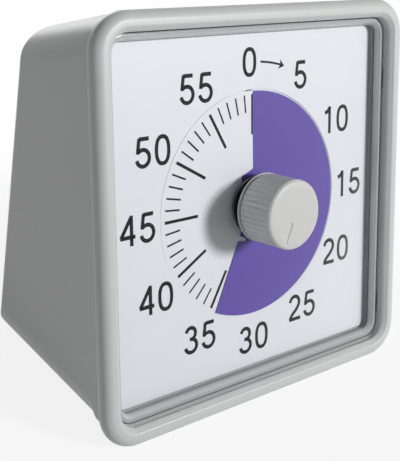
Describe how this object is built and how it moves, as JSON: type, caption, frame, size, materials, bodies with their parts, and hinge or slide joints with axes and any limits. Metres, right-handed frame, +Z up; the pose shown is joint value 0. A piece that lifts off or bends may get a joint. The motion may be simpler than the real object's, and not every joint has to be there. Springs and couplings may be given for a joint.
{
  "type": "visual countdown timer",
  "caption": "desk timer whose coloured disc threads through a slit in a sixty-minute dial and shrinks to nothing as time runs out, in a leaning wedge case",
  "frame": {"origin": "centre of the bounding box's bottom, on the surface the timer stands on", "axes": "+Z up, the dial faces -Y and leans back 14 degrees, +X is to the right seen from the front"},
  "size_m": [0.14, 0.0792, 0.136],
  "materials": {
    "case_plastic": "light grey moulded plastic, smooth satin",
    "clear_plastic": "clear moulded plastic, polished",
    "dial_white": "white sheet plastic with black print",
    "inner_plastic": "off-white moulded plastic",
    "screw_steel": "zinc-plated steel",
    "disc_film": "purple plastic film, satin",
    "black_plastic": "black moulded plastic",
    "knob_plastic": "light grey moulded plastic, satin",
    "plain_steel": "bright steel",
    "movement_plastic": "dark grey moulded plastic",
    "contact_brass": "plain brass",
    "gear_plastic": "natural white acetal",
    "cell_label": "printed film sleeve over a steel can",
    "board_laminate": "green lacquered laminate",
    "lead_insulation": "red insulated wire"
  },
  "bodies": {
    "case": {"housing": "case_plastic", "lens": "clear_plastic", "dial_plate": "dial_white", "chassis": "inner_plastic", "chassis_screws": "screw_steel", "movement_front": "movement_plastic", "movement_back": "movement_plastic", "movement_screws": "screw_steel", "fixing_nut": "contact_brass", "motor": "plain_steel", "alarm_contacts": "contact_brass", "rear_cover": "case_plastic", "cover_screws": "screw_steel", "battery": "cell_label", "positive_contact": "plain_steel", "negative_spring": "plain_steel", "circuit_board": "board_laminate", "board_screws": "screw_steel", "buzzer": "black_plastic", "alarm_switch": "plain_steel", "leads": "lead_insulation"},
    "dial_drive": {"knob": "knob_plastic", "spindle": "plain_steel", "disc_hub": "black_plastic", "centre_wheel": "gear_plastic", "clutch_spring": "plain_steel", "alarm_cam": "gear_plastic"},
    "disc": {"time_disc": "disc_film"},
    "idler": {"idler_gear": "gear_plastic"},
    "pinion": {"motor_pinion": "plain_steel"},
    "door": {"battery_door": "case_plastic"},
    "slider": {"switch_slider": "black_plastic"}
  },
  "joints": [
    {"name": "dial_turn", "type": "hinge", "parent": "case", "child": "dial_drive", "pos_m": [0, -0.0149, 0.06674], "axis": [0, 0.9703, -0.2419], "range_deg": [-204.4, 155.6]},
    {"name": "disc_shift", "type": "slide", "parent": "dial_drive", "child": "disc", "axis": [0, 0.9703, -0.2419], "range_m": [-0.00033, 0.00043]},
    {"name": "idler_turn", "type": "hinge", "parent": "case", "child": "idler", "pos_m": [-0.01273, -0.01798, 0.05439], "axis": [0, 0.9703, -0.2419], "range_deg": [-780, 1024]},
    {"name": "motor_pinion_turn", "type": "hinge", "parent": "case", "child": "pinion", "pos_m": [0.00137, -0.01922, 0.04941], "axis": [0, 0.9703, -0.2419], "range_deg": [-4090, 3114]},
    {"name": "battery_door_hinge", "type": "hinge", "parent": "case", "child": "door", "pos_m": [0, 0.03818, 0.02505], "axis": [-1, 0, 0], "range_deg": [0, 95]},
    {"name": "switch_slide", "type": "slide", "parent": "case", "child": "slider", "axis": [-1, 0, 0], "range_m": [0, 0.0044]}
  ],
  "couplings": [
    {"joint": "disc_shift", "follows": "dial_turn", "m_per_rad": -0.00011778},
    {"joint": "idler_turn", "follows": "dial_turn", "ratio": -5},
    {"joint": "motor_pinion_turn", "follows": "dial_turn", "ratio": 20}
  ]
}
